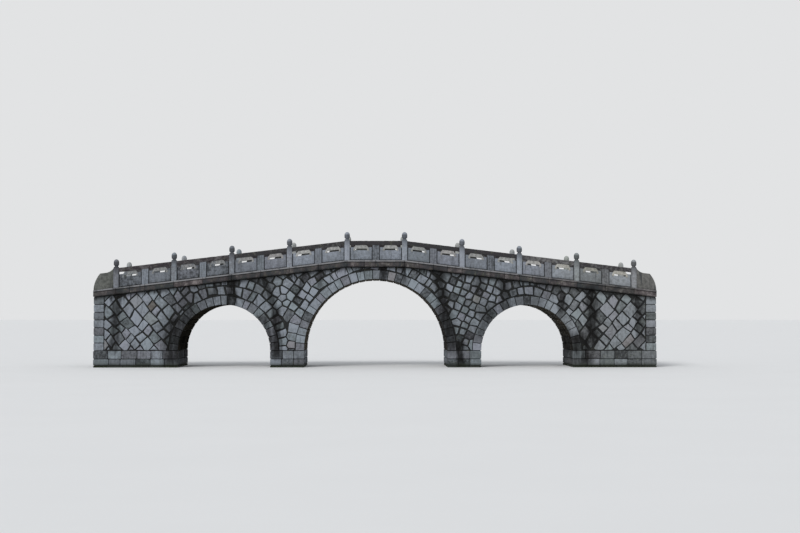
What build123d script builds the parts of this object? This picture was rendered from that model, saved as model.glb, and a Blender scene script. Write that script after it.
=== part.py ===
from build123d import *

import os
from math import atan, degrees

os.makedirs("parts", exist_ok=True)

# Millimetres. X runs along the bridge, the water level is z = 0, and the origin is midway
# along and across the bridge.

# Arches and piers
springing_height = 670
middle_arch_radius = 2864
side_arch_radius = 1836
ring_depth = 350
middle_voussoir_count = 31
side_voussoir_count = 21
pier_width = 1350
bed_clearance = 0.3
stone_joint = 8
abutment_length = 3359

# Walls, fill and deck
wall_face_width = 3200
spandrel_wall_thickness = 450
end_wall_thickness = 500
crown_wall_height = 136
ramp_fall = 1100
paving_thickness = 150
cornice_height = 260
cornice_overhang = 80
cornice_chamfer = 35

# Balustrade bays and posts
bay_count = 9
balustrade_setback = 60
post_side = 210
post_chamfer = 18
post_shaft_height = 800
collar_height = 30
collar_reach = 98
neck_height = 45
neck_reach = 66
bud_sides = 8
bud_foot_reach = 74
belly_rise = 45
belly_reach = 103
shoulder_rise = 160
brow_rise = 218
brow_reach = 80
bud_height = 258
bud_tip_reach = 34

# Handrails and pilasters
handrail_top = 780
handrail_height = 170
handrail_width = 170
handrail_crown = 30
pilaster_width = 260
pilaster_depth = 150
flute_count = 2
flute_width = 26
flute_depth = 12
flute_margin = 45

# Panels with a cloud step and a pierced slot
panel_thickness = 100
shoulder_drop = 90
cloud_step_width = 480
relief_width = 640
relief_foot_drop = 60
relief_step_rise = 55
relief_depth = 14
slot_length = 480
slot_height = 62
slot_drop = 175

# Wing stones past the last posts
wing_length = 790
wing_thickness = 140
wing_height = 640
wing_sweep_length = 320
wing_sweep_sag = 40
wing_end_length = 260
wing_end_sag = 66

side_arch_x = middle_arch_radius + pier_width + side_arch_radius
pier_x = middle_arch_radius + pier_width / 2
abutment_face_x = side_arch_x + side_arch_radius
half_length = abutment_face_x + abutment_length
wing_start_x = half_length - wing_length
last_post_x = wing_start_x - post_side / 2
bay_length = 2 * last_post_x / bay_count
flat_half_length = bay_length / 2
ramp_slope = ramp_fall / (last_post_x - flat_half_length)
crown_deck_height = springing_height + middle_arch_radius + ring_depth + crown_wall_height + cornice_height
half_width = wall_face_width / 2
fill_width = wall_face_width - 2 * spandrel_wall_thickness
balustrade_y = half_width - balustrade_setback
cornice_width = spandrel_wall_thickness + cornice_overhang
rail_underside = handrail_top - handrail_height
rail_brow = handrail_height - handrail_crown
half_rail = handrail_width / 2
half_step = cloud_step_width / 2
half_relief = relief_width / 2
half_slot = slot_length / 2
shoulder = rail_underside - shoulder_drop
slot_rise = rail_underside - slot_drop
slot_foot = slot_rise - slot_height / 2
relief_foot = slot_rise - relief_foot_drop
relief_step = slot_rise + relief_step_rise
panel_length = (bay_length - post_side - pilaster_width) / 2

arches = {
    "left_arch": (-side_arch_x, side_arch_radius, side_voussoir_count),
    "middle_arch": (0, middle_arch_radius, middle_voussoir_count),
    "right_arch": (side_arch_x, side_arch_radius, side_voussoir_count),
}
sides = {"front": -1, "back": 1}
ends = {"left": -1, "right": 1}
flute_spacing = pilaster_width / (flute_count + 1)
neck_top = collar_height + neck_height
bud_turn = 180 / bud_sides
finial_stages = [
    (0, collar_height, collar_reach, collar_reach),
    (collar_height, neck_top, neck_reach, neck_reach),
    (neck_top + shoulder_rise, neck_top + brow_rise, belly_reach, brow_reach),
    (neck_top + brow_rise, neck_top + bud_height, brow_reach, bud_tip_reach),
]
post_places = [(number - bay_count / 2) * bay_length for number in range(bay_count + 1)]
bay_centres = [(number - (bay_count - 1) / 2) * bay_length for number in range(bay_count)]
panel_offset = (pilaster_width + panel_length) / 2
panel_centres = [bay_x + place for bay_x in bay_centres for place in (-panel_offset, panel_offset)]


def on_deck(x, rise):
    """A point at a height above the deck line, which is level in the middle bay and falls past it."""
    ramp_length = max(0, abs(x) - flat_half_length)
    return (x, crown_deck_height - ramp_slope * ramp_length + rise)


def deck_line(start, end, rise):
    """The deck line's corners from one place to another, at a height above the deck."""
    bends = [x for x in (-flat_half_length, flat_half_length) if start < x < end]
    return [on_deck(x, rise) for x in (start, *bends, end)]


def deck_line_at_post(post_x):
    """The foot of a post, cut to the deck on both sides of its middle."""
    return [on_deck(x, 0) for x in (post_x - post_side / 2, post_x, post_x + post_side / 2)]


def runs_along(edge):
    """Whether an edge runs along the bridge, level or on a ramp."""
    return abs(edge.tangent_at(0).X) > abs(edge.tangent_at(0).Z) + abs(edge.tangent_at(0).Y)


def rise_of(edge):
    """The height of an edge's middle above the deck line."""
    return edge.center().Z - on_deck(edge.center().X, 0)[1]


def upright_plane(centre_y, thickness):
    """The plane from which a piece of this thickness, centred on centre_y, is extruded."""
    return Plane.XZ.offset(-centre_y - thickness / 2)


def outline(*points, mode=Mode.ADD):
    """A closed face through the points, where they stand."""
    Polygon(*points, align=None, mode=mode)


def band(start, end, foot, top, mode=Mode.ADD):
    """A face that follows the deck line between two heights above it."""
    outline(*deck_line(start, end, foot), *reversed(deck_line(start, end, top)), mode=mode)


def cut_deck_joints():
    """Part the sketched band with upright joints, two to a bay, which fall on the posts and the bends."""
    with GridLocations(bay_length / 2, 1, 2 * bay_count + 1, 1):
        Rectangle(stone_joint, 2 * crown_deck_height, mode=Mode.SUBTRACT)


def ring_back(centre_x, radius, voussoir_count, clearance, mode=Mode.ADD):
    """The flat-backed outline of a ring, drawn whole, with one side to each voussoir."""
    with Locations((centre_x, springing_height)):
        RegularPolygon(radius + ring_depth + clearance, 2 * voussoir_count, major_radius=False, mode=mode)


def seat_on_rings():
    """Cut the sketched wall or fill to the backs of the three rings."""
    for centre_x, radius, voussoir_count in arches.values():
        ring_back(centre_x, radius, voussoir_count, bed_clearance, mode=Mode.SUBTRACT)


# Two abutments, each with the upright end wall that closes the fill
for end_name, end in ends.items():
    with BuildPart() as abutment:
        with BuildSketch(upright_plane(0, wall_face_width)):
            outline(
                (end * abutment_face_x, 0),
                (end * half_length, 0),
                (end * half_length, springing_height),
                (end * abutment_face_x, springing_height),
            )
        extrude(amount=wall_face_width)
        end_wall_x = half_length - end_wall_thickness
        with BuildSketch(upright_plane(0, fill_width)):
            outline(
                (end * end_wall_x, springing_height),
                (end * half_length, springing_height),
                on_deck(end * half_length, -paving_thickness),
                on_deck(end * end_wall_x, -paving_thickness),
            )
        extrude(amount=fill_width)
    abutment.part.label = f"{end_name}_abutment"
    export_step(abutment.part, f"parts/{end_name}_abutment.step")

# Two piers between the arches
for end_name, end in ends.items():
    with BuildPart() as pier:
        with BuildSketch(Plane.XY):
            with Locations((end * pier_x, 0)):
                Rectangle(pier_width, wall_face_width)
        extrude(amount=springing_height)
    pier.part.label = f"{end_name}_pier"
    export_step(pier.part, f"parts/{end_name}_pier.step")

# Three semicircular arch rings of wedge-shaped voussoirs, through the full width of the bridge
for arch_name, (centre_x, radius, voussoir_count) in arches.items():
    wedge_angle = 180 / voussoir_count
    with BuildPart() as arch:
        with BuildSketch(upright_plane(0, wall_face_width)):
            ring_back(centre_x, radius, voussoir_count, 0)
            with Locations((centre_x, springing_height)):
                Circle(radius, mode=Mode.SUBTRACT)
                below = 2 * (radius + ring_depth)
                Rectangle(2 * below, below, align=(Align.CENTER, Align.MAX), mode=Mode.SUBTRACT)
                with PolarLocations(
                    radius + ring_depth / 2,
                    voussoir_count - 1,
                    start_angle=wedge_angle,
                    angular_range=180 - 2 * wedge_angle,
                    endpoint=True,
                ):
                    Rectangle(2 * ring_depth, stone_joint, mode=Mode.SUBTRACT)
        extrude(amount=wall_face_width)
    arch.part.label = arch_name
    export_step(arch.part, f"parts/{arch_name}.step")

# Spandrel walls on the rings, piers and abutments
for side_name, side in sides.items():
    wall_y = side * (half_width - spandrel_wall_thickness / 2)
    with BuildPart() as spandrel_wall:
        with BuildSketch(upright_plane(wall_y, spandrel_wall_thickness)):
            outline(
                (-half_length, springing_height),
                *deck_line(-half_length, half_length, -cornice_height),
                (half_length, springing_height),
            )
            seat_on_rings()
        extrude(amount=spandrel_wall_thickness)
    spandrel_wall.part.label = f"{side_name}_spandrel_wall"
    export_step(spandrel_wall.part, f"parts/{side_name}_spandrel_wall.step")

# Rubble fill, closed in by the walls, rings and paving
with BuildPart() as rubble_fill:
    fill_end_x = half_length - end_wall_thickness
    with BuildSketch(upright_plane(0, fill_width)):
        outline(
            (-fill_end_x, springing_height),
            *deck_line(-fill_end_x, fill_end_x, -paving_thickness),
            (fill_end_x, springing_height),
        )
        seat_on_rings()
    extrude(amount=fill_width)
rubble_fill.part.label = "rubble_fill"
export_step(rubble_fill.part, "parts/rubble_fill.step")

# Paving between the two cornices
with BuildPart() as deck_paving:
    with BuildSketch(upright_plane(0, fill_width)):
        band(-half_length, half_length, -paving_thickness, 0)
        cut_deck_joints()
    extrude(amount=fill_width)
deck_paving.part.label = "deck_paving"
export_step(deck_paving.part, "parts/deck_paving.step")

# Cornices, which cap the walls and overhang them
for side_name, side in sides.items():
    cornice_y = side * (fill_width + cornice_width) / 2
    with BuildPart() as cornice:
        with BuildSketch(upright_plane(cornice_y, cornice_width)):
            band(-half_length, half_length, -cornice_height, 0)
            cut_deck_joints()
        extrude(amount=cornice_width)
        outer_faces = cornice.faces().filter_by(Axis.Y).group_by(Axis.Y)[0 if side < 0 else -1]
        face_edges = [edge for edge in outer_faces.edges() if runs_along(edge)]
        lower_edges = [edge for edge in face_edges if rise_of(edge) < -cornice_height / 2]
        chamfer(lower_edges, cornice_chamfer)
    cornice.part.label = f"{side_name}_cornice"
    export_step(cornice.part, f"parts/{side_name}_cornice.step")

# Posts with a lotus bud on a neck
for side_name, side in sides.items():
    for number, post_x in enumerate(post_places, start=1):
        post_y = side * balustrade_y
        shaft_top = on_deck(post_x, post_shaft_height)[1]
        with BuildPart() as post:
            with BuildSketch(upright_plane(post_y, post_side)):
                outline(
                    *deck_line_at_post(post_x),
                    (post_x + post_side / 2, shaft_top),
                    (post_x - post_side / 2, shaft_top),
                )
            extrude(amount=post_side)
            chamfer(post.faces().sort_by(Axis.Z)[-1].edges(), post_chamfer)
            with BuildSketch(Plane.XY.offset(shaft_top + neck_top)):
                with Locations((post_x, post_y)):
                    RegularPolygon(belly_reach, bud_sides, major_radius=False, rotation=bud_turn)
            extrude(amount=shoulder_rise)
            bud_foot = post.faces(Select.LAST).sort_by(Axis.Z)[0]
            chamfer(bud_foot.edges(), belly_reach - bud_foot_reach, length2=belly_rise, reference=bud_foot)
            for start_rise, end_rise, start_reach, end_reach in finial_stages:
                with BuildSketch(Plane.XY.offset(shaft_top + start_rise)):
                    with Locations((post_x, post_y)):
                        RegularPolygon(start_reach, bud_sides, major_radius=False, rotation=bud_turn)
                height = end_rise - start_rise
                extrude(amount=height, taper=degrees(atan((start_reach - end_reach) / height)))
        post.part.label = f"{side_name}_post_{number}"
        export_step(post.part, f"parts/{side_name}_post_{number}.step")

# Handrails from post to post, each a profile with a crowned top drawn out along the slope
for side_name, side in sides.items():
    with BuildPart() as handrails:
        for bay_x in bay_centres:
            reach = (bay_length - post_side) / 2
            start_x, start_z = on_deck(bay_x - reach, rail_underside)
            end_x, end_z = on_deck(bay_x + reach, rail_underside)
            rail_end = Plane((start_x, side * balustrade_y, start_z), x_dir=(0, 1, 0), z_dir=(1, 0, 0))
            with BuildSketch(rail_end):
                with BuildLine():
                    Polyline((-half_rail, rail_brow), (-half_rail, 0), (half_rail, 0), (half_rail, rail_brow))
                    ThreePointArc((half_rail, rail_brow), (0, handrail_height), (-half_rail, rail_brow))
                make_face()
            run = Vector(end_x - start_x, 0, end_z - start_z)
            extrude(amount=run.length, dir=run)
    handrails.part.label = f"{side_name}_handrails"
    export_step(handrails.part, f"parts/{side_name}_handrails.step")

# Fluted pilasters in the middle of each bay
for side_name, side in sides.items():
    with BuildPart() as pilasters:
        with BuildSketch(upright_plane(side * balustrade_y, pilaster_depth)):
            for bay_x in bay_centres:
                band(bay_x - pilaster_width / 2, bay_x + pilaster_width / 2, 0, rail_underside)
        extrude(amount=pilaster_depth)
        for face_side in sides.values():
            flute_y = side * balustrade_y + face_side * (pilaster_depth - flute_depth) / 2
            with BuildSketch(upright_plane(flute_y, flute_depth)):
                for bay_x in bay_centres:
                    for flute in range(flute_count):
                        flute_x = bay_x + (flute - (flute_count - 1) / 2) * flute_spacing
                        flute_top = rail_underside - flute_margin
                        band(flute_x - flute_width / 2, flute_x + flute_width / 2, flute_margin, flute_top)
            extrude(amount=flute_depth, mode=Mode.SUBTRACT)
    pilasters.part.label = f"{side_name}_pilasters"
    export_step(pilasters.part, f"parts/{side_name}_pilasters.step")

# Panels, each a slab with a cloud step under the handrail, a relief round the top of a pierced slot
for side_name, side in sides.items():
    with BuildPart() as panels:
        with BuildSketch(upright_plane(side * balustrade_y, panel_thickness)):
            for panel_x in panel_centres:
                band(panel_x - panel_length / 2, panel_x + panel_length / 2, 0, shoulder)
                band(panel_x - half_step, panel_x + half_step, shoulder, rail_underside)
        extrude(amount=panel_thickness)
        for face_side in sides.values():
            relief_y = side * balustrade_y + face_side * (panel_thickness + relief_depth) / 2
            with BuildSketch(upright_plane(relief_y, relief_depth)):
                for panel_x in panel_centres:
                    band(panel_x - half_relief, panel_x + half_relief, relief_foot, relief_step)
                    band(panel_x - half_step, panel_x + half_step, relief_step, rail_underside)
                    band(panel_x - half_slot, panel_x + half_slot, relief_foot, slot_foot, mode=Mode.SUBTRACT)
            extrude(amount=relief_depth)
        slot_depth = panel_thickness + 2 * relief_depth
        with BuildSketch(upright_plane(side * balustrade_y, slot_depth)):
            for panel_x in panel_centres:
                band(panel_x - half_slot, panel_x + half_slot, slot_foot, slot_foot + slot_height)
        extrude(amount=slot_depth, mode=Mode.SUBTRACT)
    panels.part.label = f"{side_name}_panels"
    export_step(panels.part, f"parts/{side_name}_panels.step")

# Wing stones that end the balustrade, swept down from the handrail and rounded to the deck
for side_name, side in sides.items():
    for end_name, end in ends.items():
        with BuildPart() as wing_stone:
            with BuildSketch(upright_plane(side * balustrade_y, wing_thickness)):
                with BuildLine():
                    end_foot = on_deck(end * half_length, 0)
                    head = on_deck(end * wing_start_x, handrail_top)
                    sweep_end = on_deck(end * (wing_start_x + wing_sweep_length), wing_height)
                    round_start = on_deck(end * (half_length - wing_end_length), wing_height)
                    Polyline(end_foot, on_deck(end * wing_start_x, 0), head)
                    SagittaArc(head, sweep_end, -end * wing_sweep_sag)
                    Line(sweep_end, round_start)
                    SagittaArc(round_start, end_foot, end * wing_end_sag)
                make_face()
            extrude(amount=wing_thickness)
        wing_stone.part.label = f"{side_name}_{end_name}_wing_stone"
        export_step(wing_stone.part, f"parts/{side_name}_{end_name}_wing_stone.step")
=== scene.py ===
"""The looks of the three-arch stone bridge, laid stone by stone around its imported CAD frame."""

import math
import random

import bmesh
import bpy
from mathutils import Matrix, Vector, noise


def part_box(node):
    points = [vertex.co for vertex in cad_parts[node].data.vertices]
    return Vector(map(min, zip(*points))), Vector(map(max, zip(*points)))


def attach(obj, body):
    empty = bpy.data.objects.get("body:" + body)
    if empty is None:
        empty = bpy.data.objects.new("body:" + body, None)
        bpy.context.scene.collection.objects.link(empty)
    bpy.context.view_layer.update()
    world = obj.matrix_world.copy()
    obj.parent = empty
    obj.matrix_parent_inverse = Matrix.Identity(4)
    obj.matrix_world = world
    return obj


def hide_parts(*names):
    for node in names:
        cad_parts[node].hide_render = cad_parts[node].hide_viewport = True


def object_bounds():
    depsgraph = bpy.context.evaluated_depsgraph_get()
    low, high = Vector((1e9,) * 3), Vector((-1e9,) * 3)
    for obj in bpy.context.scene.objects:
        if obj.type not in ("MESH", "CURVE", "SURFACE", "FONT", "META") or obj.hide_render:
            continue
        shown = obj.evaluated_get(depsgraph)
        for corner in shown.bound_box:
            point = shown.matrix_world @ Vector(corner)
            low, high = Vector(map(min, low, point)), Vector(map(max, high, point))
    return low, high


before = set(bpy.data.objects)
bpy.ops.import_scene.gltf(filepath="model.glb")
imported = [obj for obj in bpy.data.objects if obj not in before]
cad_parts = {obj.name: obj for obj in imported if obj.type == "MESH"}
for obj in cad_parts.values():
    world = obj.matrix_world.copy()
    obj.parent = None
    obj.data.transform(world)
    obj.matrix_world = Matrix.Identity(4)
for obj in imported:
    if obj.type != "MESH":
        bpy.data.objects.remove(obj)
cad_box = [list(corner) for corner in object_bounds()]

# Places and sizes read from the frame, in metres
pier_low, pier_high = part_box("right_pier")
abutment_low, abutment_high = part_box("right_abutment")
cornice_low, cornice_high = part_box("back_cornice")
end_post_low, end_post_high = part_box("back_post_10")
crown_post_low, crown_post_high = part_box("back_post_6")
rails_low, rails_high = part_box("back_handrails")
pilasters_low, pilasters_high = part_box("back_pilasters")
panels_low, panels_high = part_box("back_panels")
wing_low, wing_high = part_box("back_right_wing_stone")
paving_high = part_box("deck_paving")[1]
ring_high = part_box("middle_arch")[1]

FACE = pier_high.y
SPRINGING = pier_high.z
END_X = abutment_high.x
MIDDLE_RADIUS = pier_low.x
SIDE_RADIUS = (abutment_low.x - pier_high.x) / 2
SIDE_X = (abutment_low.x + pier_high.x) / 2
RING_DEPTH = ring_high.z - SPRINGING - MIDDLE_RADIUS
CROWN = paving_high.z
POST_SIDE = crown_post_high.y - crown_post_low.y
FLAT = (crown_post_low.x + crown_post_high.x) / 2
LAST_POST = (end_post_low.x + end_post_high.x) / 2
SLOPE = (crown_post_high.z - end_post_high.z) / (LAST_POST - FLAT)
BAY = 2 * FLAT
BAY_COUNT = 9
BAY_MIDDLES = [(number - (BAY_COUNT - 1) / 2) * BAY for number in range(BAY_COUNT)]
RAIL_Y = (rails_low.y + rails_high.y) / 2
RAIL_TOP = rails_high.z - CROWN
RAIL_FOOT = pilasters_high.z - CROWN
PILASTER = 2 * (pilasters_high.x - BAY_MIDDLES[-1])
PANEL_LENGTH = (BAY - POST_SIDE - PILASTER) / 2


def deck(x):
    """The height of the deck line, level over the middle bay and falling past it."""
    return CROWN - SLOPE * max(0, abs(x) - FLAT)


CORNICE = deck(END_X) - cornice_low.z
WALL_TOP = deck(END_X) - CORNICE

# Masonry sizes that the frame doesn't give, in metres
RUBBLE = 0.335
RUBBLE_JOINT = 0.050
RUBBLE_DEPTH = 0.11
TALL_ROW = 0.46
LOOSE_STONE = 0.29
JOINT = 0.018
RING_JOINT = 0.026
VAULT_BLOCK = 0.72
CORE_DEPTH = 0.032
COURSES = [0, 0.08, 0.34, SPRINGING]
COURSE_DEPTH = 0.3
QUOIN = 0.42
QUOIN_COURSE = 0.31
QUOIN_DEPTHS = (0.34, 0.5)
END_DEPTH = 0.2
END_RECESS = 0.006
PAVING_DEPTH = 0.11
DRESSING = 0.02

# Where the rubble is laid on diamonds and where loosely, along the bridge in metres
DIAMONDS_FROM = SIDE_X + 1.2
LOOSE_FROM = MIDDLE_RADIUS - 0.2
LOOSE_TO = SIDE_X - 0.9

# Arches by middle, radius and number of voussoirs, and which way the sides and ends lie
ARCHES = {
    "left": (-SIDE_X, SIDE_RADIUS, 21),
    "middle": (0, MIDDLE_RADIUS, 31),
    "right": (SIDE_X, SIDE_RADIUS, 21),
}
SIDES = {"front": -1, "back": 1}
ENDS = {"left": -1, "right": 1}


def linear(red, green, blue):
    """A colour written in 0 to 255 steps, as Blender's linear values."""
    steps = [value / 255 for value in (red, green, blue)]
    return [step / 12.92 if step < 0.04 else ((step + 0.055) / 1.055) ** 2.4 for step in steps] + [1]


# Colours of the stone and of what lies on it, and of painted shade and painted highlight on it
PALE_GRANITE = linear(138, 144, 152)
GREY_GRANITE = linear(104, 108, 112)
DARK_GRANITE = linear(58, 60, 62)
TAN_STONE = linear(116, 106, 95)
# Soffit colours: brown stain with painted shade under the arches, and for the left arch a copy in deeper
# painted shade
SHADED_SOFFIT_BROWN = linear(60, 54, 43)
SHADED_SOFFIT_DARK = linear(22, 20, 16)
DEEP_SHADE_SOFFIT_PALE = linear(48, 45, 39)
DEEP_SHADE_SOFFIT_DARK = linear(20, 19, 17)
MORTAR = linear(46, 47, 47)
# One near-black for stains and dark joints, also used for painted shade and painted shadow
STAIN_AND_SHADE = linear(20, 19, 18)
CORNICE_PALE = linear(122, 118, 116)
CORNICE_GREY = linear(74, 70, 70)
# Painted highlight on the cornice's top lip
LIP_HIGHLIGHT = linear(134, 134, 136)
PAVING_PALE = linear(120, 118, 115)
PAVING_GREY = linear(98, 98, 98)
RAIL_PALE = linear(114, 113, 113)
RAIL_GREY = linear(57, 54, 56)
PANEL_PALE = linear(142, 148, 158)
PANEL_GREY = linear(112, 116, 122)
WING_PALE = linear(112, 111, 108)
WING_GREY = linear(80, 80, 78)
CLOUD_PALE = linear(173, 172, 169)
CLOUD_GREY = linear(139, 139, 137)
SHADED_PALE = linear(94, 95, 93)
SHADED_GREY = linear(62, 63, 62)
POST_PALE = linear(144, 150, 158)
POST_GREY = linear(108, 109, 114)
# A paler copy of the posts' colour for the far side, painted as lit
LIT_FAR_POST_PALE = linear(168, 169, 165)
LICHEN = linear(128, 132, 104)
MOSS = linear(52, 60, 34)
FLOOR_PALE = linear(230, 230, 229)
AMBIENT = linear(236, 240, 246)
BACKDROP_PALE = linear(226, 227, 228)

# Tints from stone to stone, which multiply its colour
PLAIN = (1, 1, 1, 1)
GREEN_TINT = (0.88, 0.98, 0.90, 1)
PURPLE_TINT = (1.02, 0.90, 0.94, 1)

# From where and over how many metres the stone turns towards the right end, and the tints it turns to
EAST = 5.5
EAST_REACH = 3
EAST_MASONRY = (0.98, 0.96, 0.91, 1)
EAST_BALUSTRADE = (1.04, 1.01, 0.93, 1)

# How a stone's tone differs: the dark ones' share of it, and what is added at the ends and to loose stones,
# where the west's posts and panels lose tone to a painted tree shadow
DARK_STONE = 0.35
PALER_EAST = 0.2
PALER_WEST = 0.15
TREE_SHADOW_TONE = -0.3
LOOSE_TONE = -0.2

# How far a stone's own grain is moved along each axis by its phase
GRAIN_SHIFT = (31, 17, 43)

# Depths below the deck line in metres: the groove under the cornice's lip, where a painted shadow line runs,
# and the reach of the painted shade on the posts' knobs, below their lit tips
LIP_GROOVE = 0.072
# Where the painted shade on the posts starts, is full, and gives way to the lit tip
KNOB_SHADE_FROM = -0.45
KNOB_SHADE_FULL = -0.90
LIT_KNOB_TIP = -1.08


class Nodes:
    """Short ways to add shader nodes to one tree, each giving an output to feed to the next."""

    def __init__(self, tree):
        self.tree = tree

    def feed(self, sockets, values):
        """Set each socket to its value, or link it if the value is another node's output."""
        for socket, value in zip(sockets, values):
            if isinstance(value, bpy.types.NodeSocket):
                self.tree.links.new(value, socket)
            elif value is not None:
                socket.default_value = value

    def add(self, kind, *values, **settings):
        """A new node with its settings, its inputs fed in order."""
        node = self.tree.nodes.new("ShaderNode" + kind)
        for name, value in settings.items():
            setattr(node, name, value)
        self.feed(node.inputs, values)
        return node.outputs[0]

    def math(self, operation, *values):
        """A sum worked out for each place."""
        return self.add("Math", *values, operation=operation)

    def times(self, first, second):
        return self.math("MULTIPLY", first, second)

    def minus(self, first, second):
        return self.math("SUBTRACT", first, second)

    def scaled(self, value, factor, shift):
        """A value times a factor, plus a shift."""
        return self.math("MULTIPLY_ADD", value, factor, shift)

    def distance(self, value, middle):
        return self.math("ABSOLUTE", self.minus(value, middle))

    def noise(self, place, scale, detail=4, roughness=0.55):
        return self.add("TexNoise", place, None, scale, detail, roughness)

    def step(self, value, start, end, low=0, high=1):
        """A smooth change from low to high while a value goes from start to end."""
        return self.add("MapRange", value, start, end, low, high, interpolation_type="SMOOTHSTEP")

    def mix(self, share, first, second, blend="MIX"):
        """The first colour with a share of the second laid over it."""
        node = self.add("Mix", data_type="RGBA", blend_type=blend).node
        self.feed((node.inputs[0], node.inputs[6], node.inputs[7]), (share, first, second))
        return node.outputs[2]

    def parts(self, vector):
        """A vector's three numbers."""
        return self.add("SeparateXYZ", vector).node.outputs

    def stretched(self, place, scale):
        """The place with each axis scaled, for streaks that run down a face."""
        return self.add("VectorMath", place, scale, operation="MULTIPLY")

    def group(self, group, place):
        return self.add("Group", place, node_tree=group)


def place_group(name, output_name, number_at):
    """A node group that works out one number for each place."""
    group = bpy.data.node_groups.new(name, "ShaderNodeTree")
    group.interface.new_socket("Place", in_out="INPUT", socket_type="NodeSocketVector")
    group.interface.new_socket(output_name, in_out="OUTPUT", socket_type="NodeSocketFloat")
    place = group.nodes.new("NodeGroupInput").outputs[0]
    number = number_at(Nodes(group), place)
    group.links.new(number, group.nodes.new("NodeGroupOutput").inputs[0])
    return group


# Black water stains, the last one partly a band of painted shadow under the cornice: foot x and z, top x and
# z and half width in metres, and how black they are
STAINS_AND_SHADOW = [
    (-5.76, 2.30, -5.74, 3.60, 0.19, 1.0),
    (-6.42, 2.60, -6.40, 3.40, 0.09, 0.7),
    (-4.90, 2.50, -4.70, 3.60, 0.60, 0.28),
    (-3.95, 0.30, -4.00, 2.30, 0.18, 0.95),
    (-4.22, 0.60, -4.55, 1.95, 0.18, 0.8),
    (-3.98, 2.00, -4.50, 3.60, 0.13, 0.8),
    (-3.20, 2.60, -2.80, 3.90, 0.09, 0.75),
    (-2.30, 3.10, -2.25, 4.00, 0.09, 0.7),
    (0.27, 3.40, 0.29, 4.10, 0.13, 0.95),
    (1.10, 3.35, 1.12, 4.10, 0.09, 0.75),
    (3.05, 0.60, 2.45, 3.90, 0.24, 0.9),
    (4.10, 2.90, 4.20, 3.60, 0.15, 0.6),
    (5.30, 1.90, 5.10, 3.50, 0.22, 0.75),
    (4.20, 1.10, 4.62, 2.40, 0.30, 0.55),
    (3.37, 0.00, 3.36, 1.00, 0.15, 1.0),
    (8.72, 0.90, 8.62, 3.20, 0.20, 1.0),
    (7.44, 2.10, 7.42, 3.00, 0.11, 0.85),
    (8.32, 0.00, 8.06, 1.30, 0.38, 0.95),
    (7.80, 0.30, 7.62, 1.50, 0.18, 0.7),
    (-8.15, 0.00, -7.95, 1.90, 0.36, 0.95),
    (-8.10, 1.20, -7.10, 3.00, 0.80, 0.5),
    (5.00, 1.60, 6.60, 3.30, 0.80, 0.3),
    (-10.40, 0.60, -10.30, 3.00, 0.18, 0.8),
    (10.60, 1.10, 10.50, 2.90, 0.12, 0.7),
    # Partly stain on the cornice at the right end, partly a band of painted shadow under it
    (9.75, 2.95, 9.65, 3.30, 1.10, 0.5),
]


def stain_number(nodes, place):
    """How black a place on the faces is under the gutters' stains and the painted shadow under the right
    end's cornice.
    """
    warp = nodes.noise(place, 1.3, 4, 0.6)
    fray = nodes.noise(nodes.stretched(place, (5, 5, 0.8)), 1.6, 5, 0.65)
    x, _, height = nodes.parts(place)
    along = nodes.math("ADD", x, nodes.scaled(warp, 0.5, -0.25))
    total = 0
    for foot_x, foot_z, top_x, top_z, half_width, black in STAINS_AND_SHADOW:
        lean = (top_x - foot_x) / (top_z - foot_z)
        offset = nodes.distance(along, nodes.scaled(height, lean, foot_x - lean * foot_z))
        core = nodes.step(offset, half_width * 1.5, half_width * 0.55, 0, black)
        above_foot = nodes.step(height, foot_z - 0.2, foot_z + 0.3)
        below_top = nodes.step(height, top_z + 0.3, top_z - 0.1)
        total = nodes.math("MAXIMUM", total, nodes.times(core, nodes.times(above_foot, below_top)))
    return nodes.times(total, nodes.step(fray, 0.30, 0.58, 0.55, 1))


def depth_number(nodes, place):
    """How far a place is below the deck line."""
    x, _, height = nodes.parts(place)
    past_flat = nodes.minus(nodes.math("ABSOLUTE", x), FLAT)
    fall = nodes.times(nodes.math("MAXIMUM", past_flat, 0), SLOPE)
    return nodes.minus(nodes.minus(CROWN, fall), height)


def bay_shade_number(nodes, place):
    """How much painted shade a place on the balustrade gets, in the corners beside its posts and pilasters.
    """
    fray = nodes.noise(nodes.stretched(place, (4, 4, 1.5)), 3, 4, 0.6)
    along = nodes.math("FRACT", nodes.math("DIVIDE", nodes.parts(place)[0], BAY))
    from_post = nodes.scaled(nodes.distance(along, 0.5), BAY, -POST_SIDE / 2)
    from_pilaster = nodes.distance((BAY - PILASTER - POST_SIDE) / 2, from_post)
    nearest = nodes.scaled(fray, -0.04, nodes.math("MINIMUM", from_post, from_pilaster))
    return nodes.step(nearest, 0.034, 0.0)


stain_map = place_group("stain_map", "StainAndShadow", stain_number)
below_deck = place_group("below_deck", "Depth", depth_number)
bay_grime = place_group("bay_grime", "CornerShade", bay_shade_number)


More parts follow.
